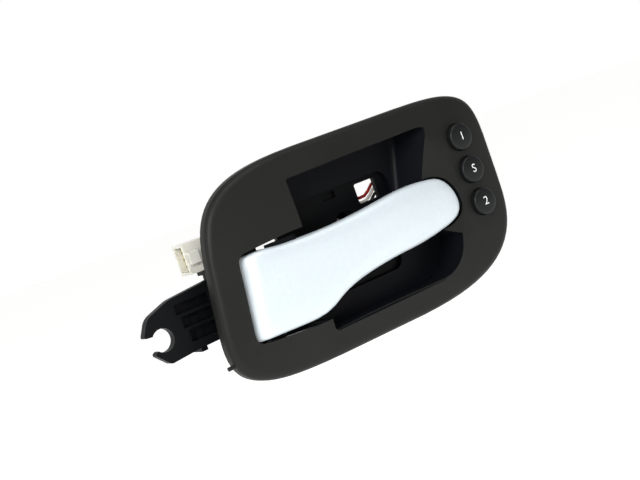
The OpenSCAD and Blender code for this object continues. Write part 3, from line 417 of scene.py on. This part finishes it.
@dataclass
class Moulding:
    """A rigid piece that keeps the node's form and gets the small edge radii of the real one.

    Attributes:
        node: Node that it stands for.
        finish: Its finish.
        edge: Radius of its sharp edges.
        body: Body that it rides on.
        lip: Radius of the edges that on_lip picks.
        on_lip: Takes the middle of an edge and says whether it belongs to a softer lip.
        inner: Finish of the faces that on_inner picks.
        on_inner: Takes a face's middle and normal and says whether it lies in the inner part.
        edge_steps: Faces across a rounded edge.
        lip_steps: Faces across the rounded lip.
    """

    node: str
    finish: Finish
    edge: float
    body: str = "root"
    lip: float = 0.0
    on_lip: Optional[Callable[[Vector], bool]] = None
    inner: Optional[Finish] = None
    on_inner: Optional[Callable[[Vector, Vector], bool]] = None
    edge_steps: int = 2
    lip_steps: int = 4

    def soften_lip(self, piece: bpy.types.Object) -> None:
        """Rounds the sharp edges of the lip, before the smaller radius goes on all the others.

        Args:
            piece: The node's merged copy.
        """
        bm = bmesh.new()
        bm.from_mesh(piece.data)
        weight = bm.edges.layers.float.new("bevel_weight_edge")
        for edge in bm.edges:
            middle = (edge.verts[0].co + edge.verts[1].co) / 2 / MM
            if edge.calc_face_angle(0.0) > math.radians(SHARP_DEG) and self.on_lip(middle):
                edge[weight] = 1.0
        bm.to_mesh(piece.data)
        bm.free()
        apply_modifier(piece, "BEVEL", width=self.lip * MM, segments=self.lip_steps,
                       limit_method="WEIGHT", use_clamp_overlap=True, miter_outer="MITER_ARC")

    def build(self) -> bpy.types.Object:
        """Makes the piece and puts it in the node's place.

        Returns:
            The finished piece.
        """
        piece = merged_copy(self.node)
        if self.on_lip is not None:
            self.soften_lip(piece)
        if self.edge > 0:
            apply_modifier(piece, "BEVEL", width=self.edge * MM, segments=self.edge_steps,
                           limit_method="ANGLE", angle_limit=math.radians(SHARP_DEG),
                           use_clamp_overlap=True, miter_outer="MITER_ARC")
        finish_piece(piece, self.node + "_moulding", self.finish, self.body, [self.node],
                     weighted=self.edge > 0)
        if self.on_inner is not None:
            piece.data.materials.append(material_of(self.inner))
            for face in piece.data.polygons:
                if self.on_inner(face.center / MM, face.normal):
                    face.material_index = 1
        return piece


@dataclass
class Bezel:
    """Grained cover with the finger recess, and the four sheet clips that hold it in the trim.

    Attributes:
        lip_r: Radius of the recess's lip.
        lip_y: Depth in front of which a sharp edge belongs to the lip.
        lip_x: Left and right end of the stretch that holds the lip.
        lip_half_h: Half the height of that stretch.
        edge_r: Radius of the other edges.
        recess_mid: Middle of the recess, which its inner faces look towards.
        recess_half: Half the length and height of the box that holds those faces.
        recess_y: Depth behind which the faces that look towards that middle get the near-black finish of
            painted shade.
        dish_y: Depth in front of which a face that looks straight out belongs to the grained dish.
        straight_out: Normals with less than this along the depth look straight out.
        clip_r: Radius of the edges of a sheet clip.
    """

    lip_r: float = 0.9
    lip_y: float = -6.2
    lip_x: Sequence[float] = (-72.0, 56.0)
    lip_half_h: float = 36.0
    edge_r: float = 0.3
    recess_mid: Sequence[float] = (5.0, -2.0, -2.0)
    recess_half: Sequence[float] = (60.0, 37.0)
    recess_y: float = -6.8
    dish_y: float = 4.0
    straight_out: float = -0.8
    clip_r: float = 0.05

    def on_lip(self, middle: Vector) -> bool:
        """Whether an edge at this place lies on the lip of the recess or of the lever's slot."""
        left, right = self.lip_x
        return middle.y < self.lip_y and left < middle.x < right and abs(middle.z) < self.lip_half_h

    def in_recess(self, middle: Vector, normal: Vector) -> bool:
        """Says whether a face is one of the recess's inner faces.

        Args:
            middle: Middle of the face, in millimetres.
            normal: Its normal.

        Returns:
            Whether it belongs to the part painted darker as shade.
        """
        half_l, half_h = self.recess_half
        if middle.y < self.recess_y or abs(middle.x) > half_l or abs(middle.z) > half_h:
            return False
        if middle.y < self.dish_y and normal.y < self.straight_out:
            return False
        return (Vector(self.recess_mid) - middle).dot(normal) > 0

    def build(self) -> None:
        """Dresses the cover and its clips."""
        # The recess's inner faces get a near-black finish: painted shade of the recess.
        Moulding("bezel", GRAINED_ABS, self.edge_r, lip=self.lip_r, on_lip=self.on_lip,
                 inner=RECESS_SHADE_ABS, on_inner=self.in_recess).build()
        Moulding("bezel_clips", SPRING_STEEL, self.clip_r).build()


@dataclass
class CarrierFrame:
    """Black frame behind the bezel, with its long arm, the lever's bracket and the frame's screws.

    Attributes:
        edge_r: Radius of the moulded edges of frame and bracket.
        screw_r: Radius of the edges of a screw's head.
    """

    edge_r: float = 0.2
    screw_r: float = 0.1

    def build(self) -> None:
        """Dresses the frame, its bracket and its screws."""
        Moulding("frame", GLASS_NYLON, self.edge_r).build()
        Moulding("pivot_bracket", GLASS_NYLON, self.edge_r).build()
        Moulding("frame_screws", ZINC_STEEL, self.screw_r).build()


@dataclass
class PullLever:
    """Silver lever with its carrier, crank, screws, pin, spring and stop.

    Attributes:
        skin_r: Radius of the edges round the lever's hollow end.
        carrier_r: Radius of the edges of carrier and crank.
        metal_r: Radius of the edges of the pin and the screws.
        clip_r: Radius of the edges of the pin's clip.
        sleeve_r: Radius of the edges of the spring's sleeve.
        bumper_r: Radius of the edges of the rubber stop.
        moving: Body that swings.
    """

    skin_r: float = 0.25
    carrier_r: float = 0.15
    metal_r: float = 0.1
    clip_r: float = 0.05
    sleeve_r: float = 0.1
    bumper_r: float = 0.3
    moving: str = "lever"

    def build(self) -> None:
        """Dresses the pieces that swing, then those that stay on the frame."""
        Moulding("lever", SATIN_SILVER, self.skin_r, self.moving).build()
        Moulding("lever_carrier", GLASS_NYLON, self.carrier_r, self.moving).build()
        Moulding("lever_crank", GLASS_NYLON, self.carrier_r, self.moving).build()
        Moulding("carrier_screws", ZINC_STEEL, self.metal_r, self.moving).build()
        Moulding("pivot_pin", ZINC_STEEL, self.metal_r).build()
        Moulding("pin_clip", SPRING_STEEL, self.clip_r).build()
        Moulding("spring_sleeve", ACETAL, self.sleeve_r).build()
        Moulding("return_spring", SPRING_STEEL, edge=0.0).build()
        Moulding("lever_bumper", BUMPER_RUBBER, self.bumper_r).build()


@dataclass
class ButtonBank:
    """Three round push buttons in a row with their printed characters, and the switch unit behind them.

    Attributes:
        legends: Character on each button, from the top.
        nodes: Node of each button, which is its body's name too.
        legend_h: Height of a character.
        capital: Height of a capital, as a share of the font's size.
        stroke: How far the outlines of a character move outwards; below zero they move in.
        curve_steps: Points on each curve of a character's outline.
        start_gap: How far in front of the cap a character starts, before it is laid on.
        ink_gap: How far the ink's back stands off the cap.
        ink: Thickness of the ink.
        mat_t: Thickness of the rubber mat behind the buttons.
        mat_r: Radius of its edges.
        mat_steps: Faces across such an edge.
        dome_r: Radius of a dome of that mat at its tip and at its foot.
        dome_edge: Radius of the edges round a dome's ends.
        dome_steps: Faces across such an edge.
        dome_sides: Sides of a dome.
        dome_keep: Share of its height that a dome keeps under a pressed button.
        board_r: Radius of the edges of the board.
        case_r: Radius of the edges of the switch case.
        screw_r: Radius of the edges of a screw's head.
    """

    legends: Sequence[str] = ("1", "S", "2")
    nodes: Sequence[str] = ("button_1", "button_set", "button_2")
    legend_h: float = 3.9
    capital: float = 0.7
    stroke: float = -0.03
    curve_steps: int = 8
    start_gap: float = 2.0
    ink_gap: float = 0.01
    ink: float = 0.03
    mat_t: float = 1.0
    mat_r: float = 0.2
    mat_steps: int = 2
    dome_r: Sequence[float] = (3.4, 4.76)
    dome_edge: float = 0.3
    dome_steps: int = 3
    dome_sides: int = 64
    # dome_keep: Share of its height that a dome keeps under a pressed button. Not used.
    dome_keep: float = 0.3
    board_r: float = 0.05
    case_r: float = 0.25
    screw_r: float = 0.1

    def legend(self, text: str, cap: bpy.types.Object, name: str) -> bpy.types.Object:
        """Prints one character on a cap, as a thin film of ink that follows its surface.

        Args:
            text: The character.
            cap: Piece that carries it.
            name: Name of the button's node and body.

        Returns:
            The finished character.
        """
        low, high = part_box(name)
        middle = (low + high) / 2
        bpy.ops.object.select_all(action="DESELECT")
        bpy.ops.object.text_add(location=(middle.x, low.y - self.start_gap * MM, middle.z),
                                rotation=(math.radians(90), 0, 0))
        label = bpy.context.object
        label.data.body = text
        label.data.size = self.legend_h * MM / self.capital
        label.data.align_x, label.data.align_y = "CENTER", "CENTER"
        label.data.resolution_u = self.curve_steps
        label.data.offset = self.stroke * MM
        only(label)
        bpy.ops.object.convert(target="MESH")
        label = bpy.context.object
        bpy.ops.object.transform_apply(location=True, rotation=True, scale=True)
        apply_modifier(label, "SUBSURF", subdivision_type="SIMPLE", levels=1, render_levels=1)
        apply_modifier(label, "SHRINKWRAP", target=cap, wrap_method="PROJECT", use_project_y=True,
                       use_positive_direction=True, use_negative_direction=True,
                       offset=self.ink_gap * MM)
        apply_modifier(label, "SOLIDIFY", thickness=self.ink * MM, offset=1.0)
        return finish_piece(label, name + "_legend", LEGEND_INK, name)

    def mat(self, low: Vector, high: Vector) -> None:
        """Makes the rubber mat, which stands for the keypad.

        Args:
            low: Lowest corner of the mat.
            high: Its highest corner.
        """
        bpy.ops.object.select_all(action="DESELECT")
        bpy.ops.mesh.primitive_cube_add(size=1.0, location=(low + high) / 2)
        mat = bpy.context.object
        mat.scale = high - low
        bpy.ops.object.transform_apply(location=True, rotation=True, scale=True)
        apply_modifier(mat, "BEVEL", width=self.mat_r * MM, segments=self.mat_steps,
                       limit_method="ANGLE")
        finish_piece(mat, "keypad_mat", KEYPAD_SILICONE, "root", ["keypad"])

    def dome(self, node: str, tip: float, front: float) -> None:
        """Makes the dome behind one button.

        Args:
            node: Node of the button.
            tip: Depth of the dome's tip.
            front: Depth of the mat's front, where the dome's foot stands.
        """
        low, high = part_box(node)
        x, z = (low.x + high.x) / 2, (low.z + high.z) / 2
        tip_r, foot_r = self.dome_r
        bpy.ops.object.select_all(action="DESELECT")
        bpy.ops.mesh.primitive_cone_add(
            vertices=self.dome_sides, radius1=foot_r * MM, radius2=tip_r * MM, depth=front - tip,
            location=(x, (tip + front) / 2, z), rotation=(math.radians(90), 0, 0))
        dome = bpy.context.object
        apply_modifier(dome, "BEVEL", width=self.dome_edge * MM, segments=self.dome_steps,
                       limit_method="ANGLE", angle_limit=math.radians(SHARP_DEG))
        finish_piece(dome, node + "_dome", KEYPAD_SILICONE, "root")
        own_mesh(dome)

    def build(self) -> None:
        """Makes the buttons with their characters, then the keypad, and dresses the switch unit."""
        for text, node in zip(self.legends, self.nodes):
            cap = Moulding(node, SOFT_TOUCH, edge=0.0, body=node).build()
            self.legend(text, cap, node)
        low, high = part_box("keypad")
        front = high.y - self.mat_t * MM
        self.mat(Vector((low.x, front, low.z)), high)
        for node in self.nodes:
            self.dome(node, low.y, front)
        Moulding("switch_board", BOARD_EPOXY, self.board_r).build()
        Moulding("switch_case", GLASS_NYLON, self.case_r).build()
        Moulding("switch_screws", ZINC_STEEL, self.screw_r).build()


@dataclass
class WireLoom:
    """Three wires from the switch unit to the plug housing at the left, and the tie that holds them.

    Attributes:
        tie_r: Radius of the edges of the tie.
        housing_r: Radius of the edges of the plug housing.
        lock_r: Radius of the edges of its lock.
        strip_r: Radius of the edges of a terminal.
    """

    tie_r: float = 0.15
    housing_r: float = 0.25
    lock_r: float = 0.1
    strip_r: float = 0.05

    def build(self) -> None:
        """Dresses the wires, their tie and the plug."""
        for node, sheath in (("wire_red", RED_PVC), ("wire_white", WHITE_PVC), ("wire_black", BLACK_PVC)):
            Moulding(node, sheath, edge=0.0).build()
        Moulding("wire_tie", GLASS_NYLON, self.tie_r).build()
        Moulding("connector", NATURAL_NYLON, self.housing_r).build()
        Moulding("connector_lock", CREAM_NYLON, self.lock_r).build()
        Moulding("connector_terminals", TINNED_BRASS, self.strip_r).build()


@dataclass
class Studio:
    """Camera, lights, floor and surroundings.

    Attributes:
        azimuth: Way that the camera looks from, in degrees.
        elevation: Height of the camera above the horizon, in degrees.
        roll: How far the handle is turned in the picture, in degrees.
        distance: From the camera to its target.
        focal_px: Focal length in pixels of the photograph's frame.
        target: Point that the camera is aimed by.
        target_px: Where that point shows in the photograph's frame.
        aim_steps: Times that the aim is corrected.
        sensor: Width of the camera's sensor.
        clip: Nearest and farthest that the camera sees.
        floor_z: Height of the floor.
        floor_side: Side of the floor.
        front_dim: Brightness of the surroundings in front of the handle, where white is 1.
        front_span: Depth part of a direction where the dim front ends, and where white begins.
        top_dim: Share of the brightness that is left overhead.
        top_span: Upward part of a direction where that share starts to fall, and where it is reached.
        lamps: Name, place, size and power of each softbox.
    """

    azimuth: float = -31.7
    elevation: float = 5.4
    roll: float = 19.5
    distance: float = 520.0
    focal_px: float = 1196.0
    target: Sequence[float] = (-13.5, -8.0, 0.7)
    target_px: Sequence[float] = (343.4, 238.8)
    aim_steps: int = 8
    sensor: float = 36.0
    clip: Sequence[float] = (10.0, 20000.0)
    floor_z: float = -150.0
    floor_side: float = 8000.0
    front_dim: float = 0.22
    front_span: Sequence[float] = (-0.5, 0.1)
    top_dim: float = 0.5
    top_span: Sequence[float] = (0.4, 0.8)
    lamps: Sequence[tuple] = (("key_softbox", (-520, -480, 330), 420, 5.5),
                              ("fill_softbox", (100, -500, 650), 500, 3.0))

    def camera(self) -> None:
        """Adds the camera and turns it until the target shows at its pixel."""
        a, e, r = (math.radians(v) for v in (self.azimuth, self.elevation, self.roll))
        back = Vector((math.sin(a) * math.cos(e), -math.cos(a) * math.cos(e), math.sin(e)))
        side = (-back).cross(Vector((0, 0, 1))).normalized()
        top = side.cross(-back)
        right = side * math.cos(r) - top * math.sin(r)
        up = side * math.sin(r) + top * math.cos(r)
        look = -back
        target = Vector(self.target) * MM
        place = target + back * self.distance * MM
        want_x = (self.target_px[0] - PHOTO_SIZE[0] / 2) / self.focal_px
        want_y = -(self.target_px[1] - PHOTO_SIZE[1] / 2) / self.focal_px
        for _ in range(self.aim_steps):
            seen = target - place
            depth = seen.dot(look)
            miss_x = want_x - seen.dot(right) / depth
            miss_y = want_y - seen.dot(up) / depth
            look = (look - right * miss_x - up * miss_y).normalized()
            right = (right - look * right.dot(look)).normalized()
            up = right.cross(look)
        data = bpy.data.cameras.new("camera")
        data.sensor_width = self.sensor
        data.lens = self.focal_px * data.sensor_width / PHOTO_SIZE[0]
        data.clip_start, data.clip_end = (reach * MM for reach in self.clip)
        camera = bpy.data.objects.new("camera", data)
        bpy.context.scene.collection.objects.link(camera)
        turn = Matrix((right, up, -look)).transposed().to_4x4()
        camera.matrix_world = Matrix.Translation(place) @ turn
        bpy.context.scene.camera = camera

    def lamp(self, name: str, place: Sequence[float], size: float, watts: float) -> None:
        """Adds a soft square lamp that points at the handle.

        Args:
            name: Name of the lamp.
            place: Its place in millimetres.
            size: Its side in millimetres.
            watts: Its power.
        """
        data = bpy.data.lights.new(name, "AREA")
        data.shape = "SQUARE"
        data.size = size * MM
        data.energy = watts
        lamp = bpy.data.objects.new(name, data)
        bpy.context.scene.collection.objects.link(lamp)
        spot = Vector(place) * MM
        lamp.location = spot
        lamp.rotation_mode = "QUATERNION"
        lamp.rotation_quaternion = (-spot).to_track_quat("-Z", "Y")

    def floor(self) -> None:
        """Adds the pale floor, a white table that gives off a little light."""
        bpy.ops.object.select_all(action="DESELECT")
        bpy.ops.mesh.primitive_plane_add(size=self.floor_side * MM, location=(0, 0, self.floor_z * MM))
        plane = bpy.context.object
        plane.name = "floor"
        plane.data.materials.append(material_of(TABLE_WHITE))

    def world(self) -> None:
        """Makes the plain surroundings: white behind the handle, dimmer in front of it and overhead."""
        world = bpy.data.worlds.new("surroundings")
        world.use_nodes = True
        tree = world.node_tree
        way = add_node(tree, "ShaderNodeTexCoord").outputs["Generated"]
        parts = add_node(tree, "ShaderNodeSeparateXYZ", {"Vector": way})
        depth = add_node(tree, "ShaderNodeMapRange", {
            "Value": parts.outputs["Y"], "From Min": self.front_span[0], "From Max": self.front_span[1],
            "To Min": self.front_dim, "To Max": 1.0})
        height = add_node(tree, "ShaderNodeMapRange", {
            "Value": parts.outputs["Z"], "From Min": self.top_span[0], "From Max": self.top_span[1],
            "To Min": 1.0, "To Max": self.top_dim})
        strength = add_node(tree, "ShaderNodeMath", {
            0: depth.outputs["Result"], 1: height.outputs["Result"]}, operation="MULTIPLY")
        sky = tree.nodes["Background"]
        sky.inputs["Color"].default_value = (1.0, 1.0, 1.0, 1.0)
        tree.links.new(strength.outputs["Value"], sky.inputs["Strength"])
        bpy.context.scene.world = world
        bpy.context.scene.view_settings.view_transform = "Standard"

    def build(self) -> None:
        """Sets the stage."""
        self.camera()
        for name, place, size, watts in self.lamps:
            self.lamp(name, place, size, watts)
        self.floor()
        self.world()


def main() -> None:
    """Sets the stage and builds the handle's pieces in order."""
    logging.basicConfig(level=logging.INFO, format="%(message)s")
    Studio().build()
    for assembly in (Bezel(), CarrierFrame(), PullLever(), ButtonBank(), WireLoom()):
        log.info("%s", type(assembly).__name__)
        assembly.build()


if __name__ == "__main__":
    main()
